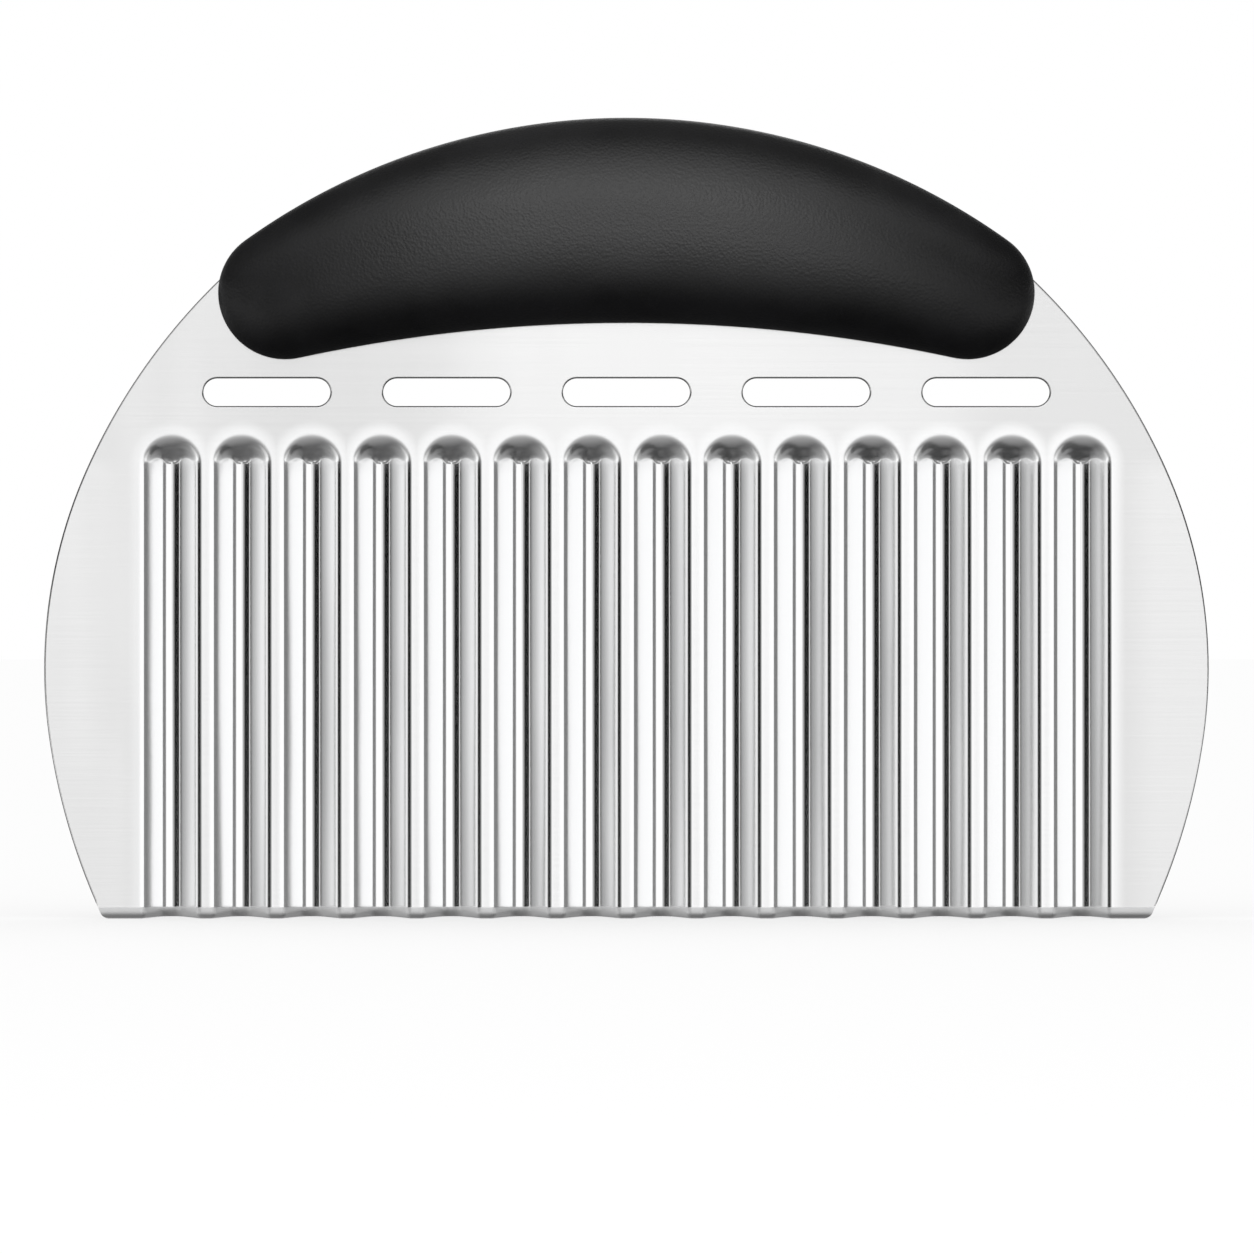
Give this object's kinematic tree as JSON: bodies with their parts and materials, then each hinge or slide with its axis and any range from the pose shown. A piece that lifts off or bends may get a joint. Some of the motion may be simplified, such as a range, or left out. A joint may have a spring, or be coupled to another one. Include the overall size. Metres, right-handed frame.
{
  "type": "crinkle cutter",
  "caption": "Half-moon steel crinkle cutter: fluted sheet blade with a row of slots and a ground wavy edge, under an arched black soft-grip handle.",
  "frame": {"origin": "middle of the cutting edge, in the middle plane of the blade's flat sheet", "axes": "+X along the cutting edge to the right as seen from the front, +Y from the front to the back, +Z from the cutting edge up to the handle"},
  "size_m": [0.16, 0.022, 0.11],
  "materials": {
    "blade_steel": "stainless sheet, finely brushed along the cutting edge, with the pressed flutes brighter",
    "grip_skin": "black soft-touch elastomer with a fine leathery grain",
    "grip_core": "moulded dark grey polypropylene, hidden under the skin",
    "rivet_metal": "plain turned aluminium, hidden under the skin"
  },
  "bodies": {
    "root": {"blade": "blade_steel", "soft_grip": "grip_skin", "core_front": "grip_core", "core_rear": "grip_core", "rivet_barrel_left": "rivet_metal", "rivet_barrel_centre": "rivet_metal", "rivet_barrel_right": "rivet_metal", "rivet_post_left": "rivet_metal", "rivet_post_centre": "rivet_metal", "rivet_post_right": "rivet_metal"}
  },
  "joints": []
}
